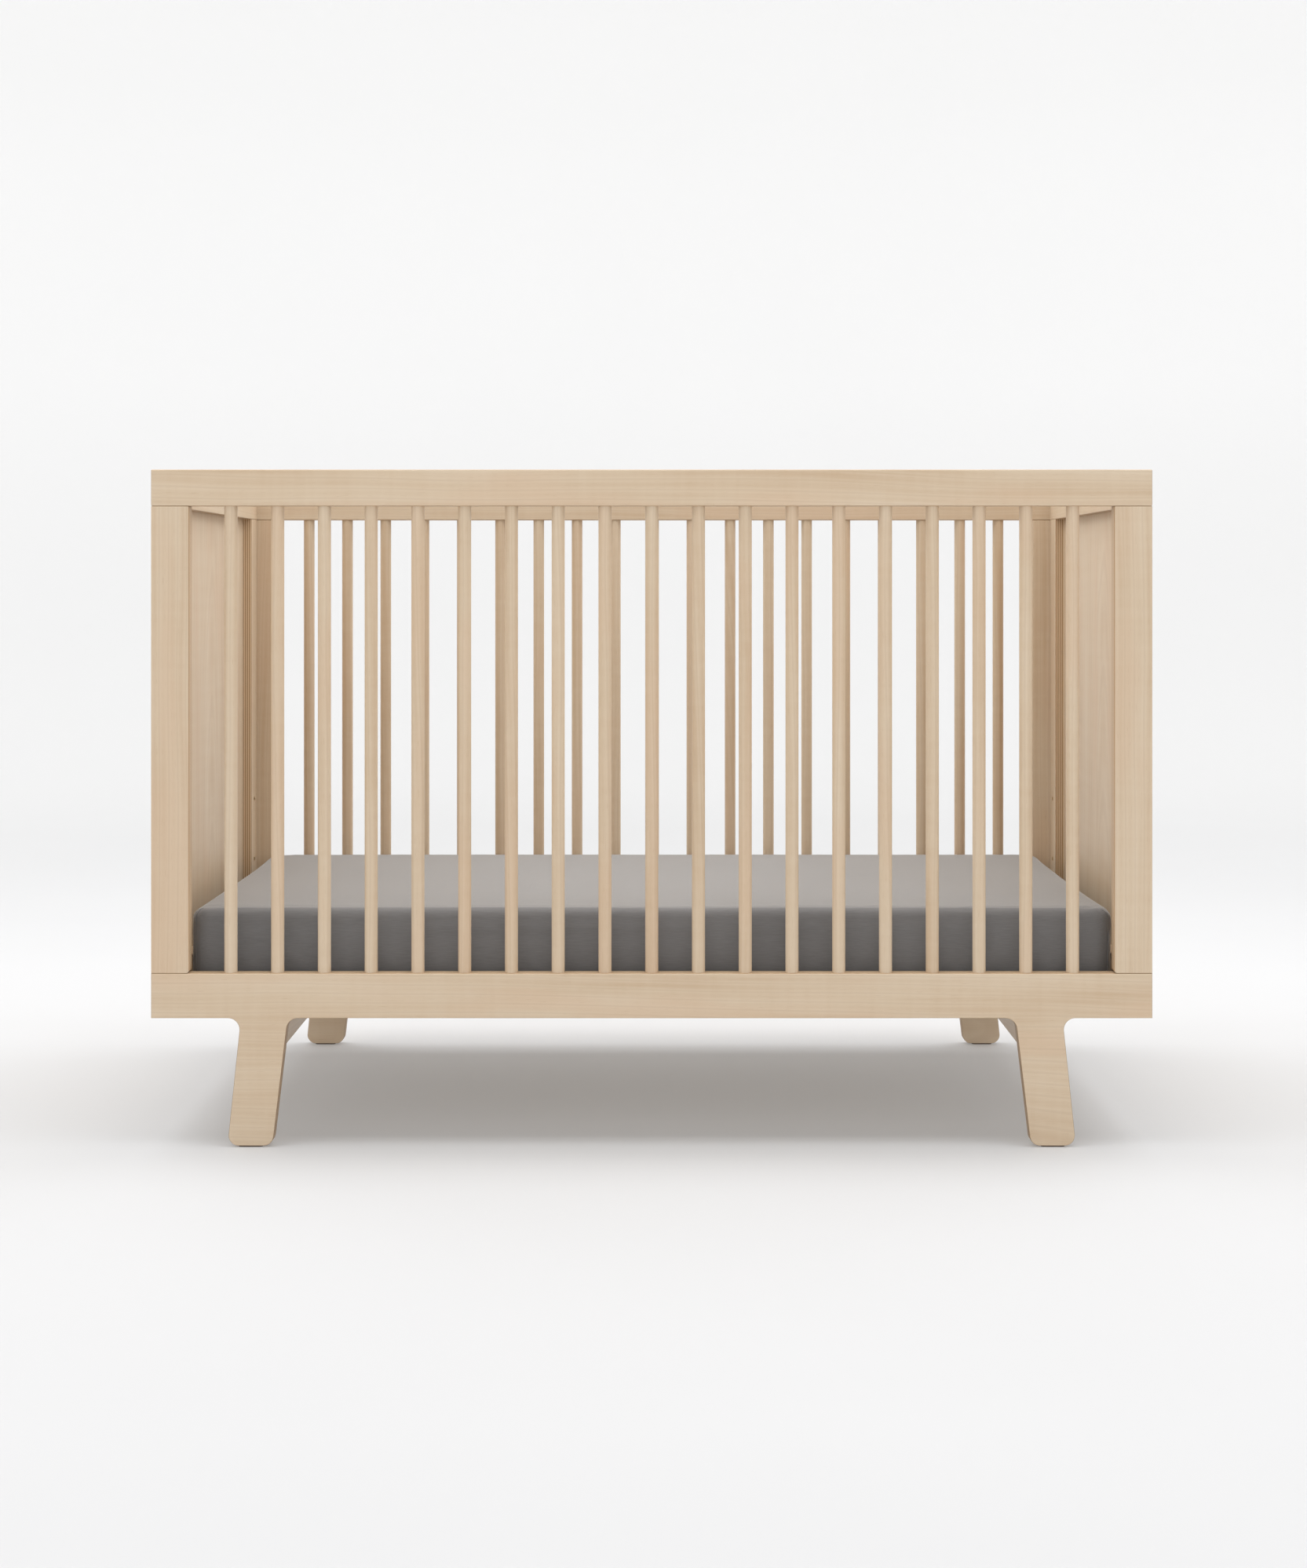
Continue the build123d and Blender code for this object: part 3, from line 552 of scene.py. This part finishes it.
def rounded_ring(half_x, half_y, radius, z):
    """Points round a rounded rectangle, numbered alike in rings of any size."""
    points = []
    corners = [(1, 1, 0), (-1, 1, 90), (-1, -1, 180), (1, -1, 270)]

    def on_corner(index, turn):
        """Point on a corner, with turn from 0 at its start to 1 at its end."""
        sx, sy, start = corners[index % 4]
        angle = radians(start + 90 * turn)
        return np.array([sx * (half_x - radius) + radius * cos(angle),
                         sy * (half_y - radius) + radius * sin(angle), z])

    for index, run in enumerate(RUNS):
        points += [on_corner(index, n / CORNER_STEPS) for n in range(CORNER_STEPS + 1)]
        begin, end = on_corner(index, 1), on_corner(index + 1, 0)
        points += [begin + (end - begin) * n / run for n in range(1, run)]
    return points


def wrap_profile(low, high, edge):
    """Inset and height from a block's top border, round its edge, down its side and round the lower edge."""
    turns = [pi / 2 * n / ROUND_STEPS for n in range(ROUND_STEPS + 1)]
    line = [(edge * (1 - sin(turn)), high - edge * (1 - cos(turn))) for turn in turns]
    top, bottom = high - edge, low + edge
    line += [(0.0, top + (bottom - top) * n / SIDE_STEPS) for n in range(1, SIDE_STEPS)]
    return line + [(edge * (1 - cos(turn)), low + edge * (1 - sin(turn))) for turn in turns]


def crowned(point, centre, half):
    """The soft form of a plain block: its top falls to the edges and its sides draw in between corners."""
    x, y, z = point - centre
    u, v, w = x / half[0], y / half[1], z / half[2]
    crown = (1 - min(1, abs(u)) ** 5) * (1 - min(1, abs(v)) ** 5)
    slack = noise.noise(Vector((x * 5.0, y * 5.0, z * 9.0))) * SLACK
    drop = max(0.0, w) * (1 - crown) * CROWN_DROP
    waist = 1 - w * w * 0.35
    x -= u * waist * (1 - abs(v) ** 3) * END_DRAW * abs(u) ** 4 + slack * u
    y -= v * waist * (1 - abs(u) ** 6) * SIDE_DRAW * abs(v) ** 4 + slack * v
    return centre + np.array([x, y, z - drop])


def corner_mark(index):
    """Number of the point in the middle of a ring's corner."""
    index %= 4
    return sum(RUNS[:index]) + index * CORNER_STEPS + CORNER_STEPS // 2


def patch(vertices, first):
    """Grid across the inside of the ring that starts at first: adds its points, and returns its faces."""
    def side(index):
        """Numbers of the ring's points from one corner's middle to the next."""
        count = RUNS[index] + CORNER_STEPS
        return [first + (corner_mark(index) + n) % RING_COUNT for n in range(count + 1)]

    back, left, front, right = side(0), side(1), side(2)[::-1], side(3)[::-1]
    at = np.array(vertices)
    across, down = len(back) - 1, len(left) - 1
    number = {}
    for i in range(across + 1):
        for j in range(down + 1):
            if j in (0, down):
                number[i, j] = (front if j else back)[i]
            elif i in (0, across):
                number[i, j] = (left if i else right)[j]
            else:
                u, v = i / across, j / down
                blend = ((1 - v) * at[back[i]] + v * at[front[i]] + (1 - u) * at[right[j]] + u * at[left[j]]
                         - (1 - u) * (1 - v) * at[back[0]] - u * (1 - v) * at[back[-1]]
                         - (1 - u) * v * at[front[0]] - u * v * at[front[-1]])
                number[i, j] = len(vertices)
                vertices.append(blend)
    return [(number[i, j], number[i + 1, j], number[i + 1, j + 1], number[i, j + 1])
            for i in range(across) for j in range(down)]


def skin(low, high, edge, corner, hem=0.0, closed=False):
    """Points, faces and ring count of a skin over a block: a sheet with a hem, or a closed pad."""
    centre, half = (low + high) / 2, (high - low) / 2
    vertices = []
    rings = 0
    for inset, z in wrap_profile(low[2], high[2], edge):
        vertices += rounded_ring(half[0] - inset, half[1] - inset, corner - inset, z)
        rings += 1
    for n in range(1, HEM_STEPS + 1) if hem else ():
        share = n / HEM_STEPS
        inset = edge + (hem - edge) * share
        vertices += rounded_ring(half[0] - inset, half[1] - inset, corner - edge + HEM_CORNER * share,
                                 low[2])
        rings += 1
    faces = [(ring * RING_COUNT + n, ring * RING_COUNT + (n + 1) % RING_COUNT,
              (ring + 1) * RING_COUNT + (n + 1) % RING_COUNT, (ring + 1) * RING_COUNT + n)
             for ring in range(rings - 1) for n in range(RING_COUNT)]
    faces += patch(vertices, 0)
    if closed:
        faces += patch(vertices, (rings - 1) * RING_COUNT)
    return [crowned(vertex, centre, half) for vertex in vertices], faces, rings


def face_outwards(piece):
    """One way round for all faces, with the top facing up."""
    mesh = bmesh.new()
    mesh.from_mesh(piece.data)
    bmesh.ops.recalc_face_normals(mesh, faces=mesh.faces)
    highest = max(mesh.faces, key=lambda face: face.calc_center_median().z)
    if highest.normal.z < 0:
        bmesh.ops.reverse_faces(mesh, faces=mesh.faces)
    mesh.to_mesh(piece.data)
    mesh.free()


def points_of(piece):
    """The points of a piece as its modifiers leave it."""
    shown = piece.evaluated_get(bpy.context.evaluated_depsgraph_get())
    mesh = shown.to_mesh()
    points = np.zeros(len(mesh.vertices) * 3, np.float32)
    mesh.vertices.foreach_get("co", points)
    shown.to_mesh_clear()
    return points.reshape(-1, 3).astype(float)


def settle(sheet, core, rings):
    """The sheet's points after a cloth simulation, in which it draws tight while its elastic hem is held."""
    hem_points = range((rings - 2) * RING_COUNT, rings * RING_COUNT)
    group = sheet.vertex_groups.new(name="hem")
    group.add(list(hem_points), 1.0, "REPLACE")
    core.modifiers.new("solid", "COLLISION")
    core.collision.thickness_outer = CLOTH_GAP
    core.collision.thickness_inner = 10 * MM
    core.collision.cloth_friction = 8
    before = points_of(sheet)
    cloth = sheet.modifiers.new("settle", "CLOTH")
    settings = cloth.settings
    settings.quality = 6
    settings.mass = 0.2
    settings.tension_stiffness = CLOTH_STIFFNESS
    settings.compression_stiffness = CLOTH_STIFFNESS
    settings.shear_stiffness = 8
    settings.bending_stiffness = 0.15
    settings.shrink_min = CLOTH_SHRINK
    settings.vertex_group_mass = "hem"
    cloth.collision_settings.distance_min = CLOTH_GAP
    cloth.collision_settings.use_self_collision = False
    for number in range(1, SETTLE_FRAMES + 1):
        bpy.context.scene.frame_set(number)
    after = points_of(sheet)
    bpy.context.scene.frame_set(1)
    sheet.modifiers.remove(cloth)
    core.modifiers.remove(core.modifiers["solid"])
    moved = after - before
    far = np.linalg.norm(moved, axis=1, keepdims=True)
    moved *= np.minimum(1.0, MOVE_CAP / np.maximum(far, 1e-9))
    return before + moved


def strip(name, path, half_size, thick_ways, material, closed=False):
    """Narrow oval strip along a path. thick_ways has the direction of its thickness at each point."""
    count, sides = len(path), STRIP_SIDES
    half_width, half_thick = half_size
    vertices = []
    for n, point in enumerate(path):
        after = path[(n + 1) % count] if closed or n + 1 < count else point
        before = path[n - 1] if closed or n else point
        along = (Vector(after) - Vector(before)).normalized()
        thick = Vector(thick_ways[n]).normalized()
        wide = along.cross(thick).normalized()
        for side in range(sides):
            turn = 2 * pi * side / sides
            vertices.append(Vector(point) + wide * half_width * cos(turn) + thick * half_thick * sin(turn))
    faces = [(n * sides + side, n * sides + (side + 1) % sides,
              (n + 1) % count * sides + (side + 1) % sides, (n + 1) % count * sides + side)
             for n in range(count if closed else count - 1) for side in range(sides)]
    if not closed:
        faces += [tuple(range(sides))[::-1], tuple(range((count - 1) * sides, count * sides))]
    made = new_object(name, vertices, faces, material)
    face_outwards(made)
    return made


def mattress_core(low, high, cover):
    """Foam mattress in ticking, quilted underneath inside the sheet's hem."""
    inner_low = low + np.array([SHEET_THICK, SHEET_THICK, HEM_ROOM])
    vertices, faces, rings = skin(inner_low, high - SHEET_THICK, EDGE_ROUND - SHEET_THICK,
                                  CORNER_ROUND - SHEET_THICK, closed=True)
    for vertex in vertices[(rings - 1) * RING_COUNT:]:
        if vertex[2] < inner_low[2] + 1 * MM:
            first, second = (vertex[0] + vertex[1]) / QUILT, (vertex[0] - vertex[1]) / QUILT
            pillow = abs(sin(pi * first) * sin(pi * second)) ** 0.4
            margin = min(1.0, max(0.0, (high[0] - HEM - abs(vertex[0])) / QUILT_FADE),
                         max(0.0, (high[1] - HEM - abs(vertex[1])) / QUILT_FADE))
            vertex[2] += (1 - pillow) * margin * QUILT_DEPTH
    core = new_object("mattress_core", vertices, faces, cover)
    face_outwards(core)
    return core


def fitted_sheet(low, high, core, cloth):
    """Fitted sheet round the core, with a gathered elastic hem and a seam down each corner."""
    vertices, faces, rings = skin(low + SHEET_AIR, high - SHEET_AIR, EDGE_ROUND, CORNER_ROUND, hem=HEM)
    sheet = new_object("fitted_sheet_cloth", vertices, faces, cloth)
    face_outwards(sheet)
    points = settle(sheet, core, rings)
    hem_rings = range(rings - HEM_STEPS, rings)
    for ring in hem_rings:
        share = (ring - hem_rings[0] + 1) / HEM_STEPS
        for n in range(RING_COUNT):
            point = points[ring * RING_COUNT + n]
            gather = sin(n * 1.55 + 1.8 * sin(n * 0.23)) * (0.7 + 0.3 * sin(n * 0.61))
            point[2] += share ** 1.5 * gather * GATHER + share * HEM_LIFT
    sheet.data.vertices.foreach_set("co", points.ravel())
    sheet.data.update()
    finer = sheet.modifiers.new("finer", "SUBSURF")
    finer.levels = finer.render_levels = 1

    last = points[(rings - 1) * RING_COUNT:rings * RING_COUNT]
    up = [(0.0, 0.0, 1.0)] * RING_COUNT
    band = strip("sheet_elastic", last, ELASTIC, up, cloth, closed=True)
    seams = []
    for index, name in enumerate(("back_right", "back_left", "front_left", "front_right")):
        column = [points[ring * RING_COUNT + corner_mark(index)] for ring in range(rings - 1)]
        out = [Vector((point[0], point[1], 0.0)).normalized() for point in column]
        seams.append(strip("sheet_seam_" + name, column, SEAM, out, cloth))
    return sheet, band, seams


def dress_bed(sheet_cloth, cover):
    """The mattress and its sheet, in place of their CAD blocks."""
    low, high = (np.array(corner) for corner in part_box("fitted_sheet"))
    core = mattress_core(low, high, cover)
    sheet, band, seams = fitted_sheet(low, high, core, sheet_cloth)
    for piece in (core, sheet, band, *seams):
        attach(piece, "mattress")
    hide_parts("mattress")
    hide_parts("fitted_sheet")


def build_everything():
    """All materials and soft pieces."""
    dress_boards()
    dress_solid_wood()
    dress_hardware()
    sheet_cloth = jersey("sheet_cotton", colour(127, 126, 126), colour(108, 107, 107))
    cover = ticking("mattress_cover", colour(228, 226, 220), colour(196, 193, 186))
    dress_bed(sheet_cloth, cover)


# Studio

TENT_RADIUS = 6.5
TENT_BEND = 1.6
TENT_HEIGHT = 6.0
TENT_TURNS = 96
BEND_STEPS = 16
FLOOR_RINGS = (0.0455, 2.275, 4.55)
PAPER = (colour(190, 190, 191), colour(193, 193, 194))
# Painted light: the floor's glow lightens the shadow under the crib, and the walls' stronger glow lights the
# crib as a tent would
FLOOR_GLOW = 0.17
WALL_GLOW = 0.47
TOP_GLOW = 0.57
GLOW_REACH = (0.9, 6.0)
GLOW_RISE = (0.5, 3.2)
WORLD_GLOW = 0.2

# Place, aim, size and watts
OVERHEAD = ((0.0, 0.25, 3.2), (0.0, 0.05, 0.0), (6.0, 3.8), 200)
LOW_FILL = ((0.0, -3.6, 0.5), (0.0, 0.0, 0.0), (4.8, 0.7), 9)


def area_light(name, place, aim, size, watts):
    """Rectangular lamp that the camera doesn't see."""
    light = bpy.data.lights.new(name, "AREA")
    light.shape = "RECTANGLE"
    light.size, light.size_y = size
    light.energy = watts
    lamp = bpy.data.objects.new(name, light)
    lamp.location = place
    lamp.rotation_euler = (Vector(aim) - Vector(place)).to_track_quat("-Z", "Y").to_euler()
    lamp.visible_camera = False
    bpy.context.scene.collection.objects.link(lamp)


def glowing_tent_paper():
    """Pale paper with painted light: a faint glow on the floor lightens the crib's shadow, and the glow
    grows away from the crib and higher up.
    """
    g = Graph("glowing_studio_paper")
    mottle = g.noise(g.place, scale=1.5, detail=2.0)
    x, y, z = g.split(g.place)
    away = g.math("SQRT", g.math("MULTIPLY_ADD", x, x, g.times(y, y)))
    outwards = g.times(g.step(away, *GLOW_REACH), WALL_GLOW - FLOOR_GLOW)
    upwards = g.times(g.step(z, *GLOW_RISE), TOP_GLOW - WALL_GLOW)
    return g.finish(Base_Color=g.mix(mottle, *PAPER), Roughness=0.9, Specular_IOR_Level=0.1,
                    Emission_Color=(1.0, 1.0, 0.99, 1.0),
                    Emission_Strength=g.total(outwards, upwards, FLOOR_GLOW))


def light_tent():
    """Round floor that curves up into a wall on all sides."""
    line = [(radius, 0.0) for radius in FLOOR_RINGS]
    for n in range(BEND_STEPS + 1):
        angle = pi / 2 * n / BEND_STEPS
        line.append((TENT_RADIUS - TENT_BEND * (1 - sin(angle)), TENT_BEND * (1 - cos(angle))))
    line.append((TENT_RADIUS, TENT_HEIGHT))
    turns = [2 * pi * n / TENT_TURNS for n in range(TENT_TURNS)]
    vertices = [(radius * cos(turn), radius * sin(turn), z) for radius, z in line for turn in turns]
    faces = []
    for row in range(len(line) - 1):
        inner, outer = row * TENT_TURNS, (row + 1) * TENT_TURNS
        for n in range(TENT_TURNS):
            after = (n + 1) % TENT_TURNS
            faces.append((inner + n, outer + n, outer + after, inner + after))
    faces.append(tuple(range(TENT_TURNS)))
    new_object("studio_floor", vertices, faces, glowing_tent_paper())


def studio():
    """Light tent with one broad light overhead and a low one in front."""
    light_tent()
    area_light("overhead", *OVERHEAD)
    area_light("low_fill", *LOW_FILL)
    world = bpy.data.worlds.new("studio_air")
    bpy.context.scene.world = world
    world.use_nodes = True
    background = world.node_tree.nodes["Background"]
    background.inputs["Color"].default_value = (1.0, 1.0, 1.0, 1.0)
    background.inputs["Strength"].default_value = WORLD_GLOW


# Camera

CAMERA_PLACE = (0.0141, -3.6675, 0.7737)
SENSOR_WIDTH = 36.0
FOCAL_LENGTH = 55.05
SHIFT = (-0.0054, -0.1279)


def camera():
    """The photograph's view: level, square to the front side, from a little above its middle."""
    lens = bpy.data.cameras.new("camera")
    lens.sensor_width = SENSOR_WIDTH
    lens.lens = FOCAL_LENGTH
    lens.shift_x, lens.shift_y = SHIFT
    seat = bpy.data.objects.new("camera", lens)
    seat.location = CAMERA_PLACE
    seat.rotation_euler = (pi / 2, 0.0, 0.0)
    bpy.context.scene.collection.objects.link(seat)
    bpy.context.scene.camera = seat


build_everything()
studio()
camera()
bpy.context.scene.view_settings.view_transform = "Standard"
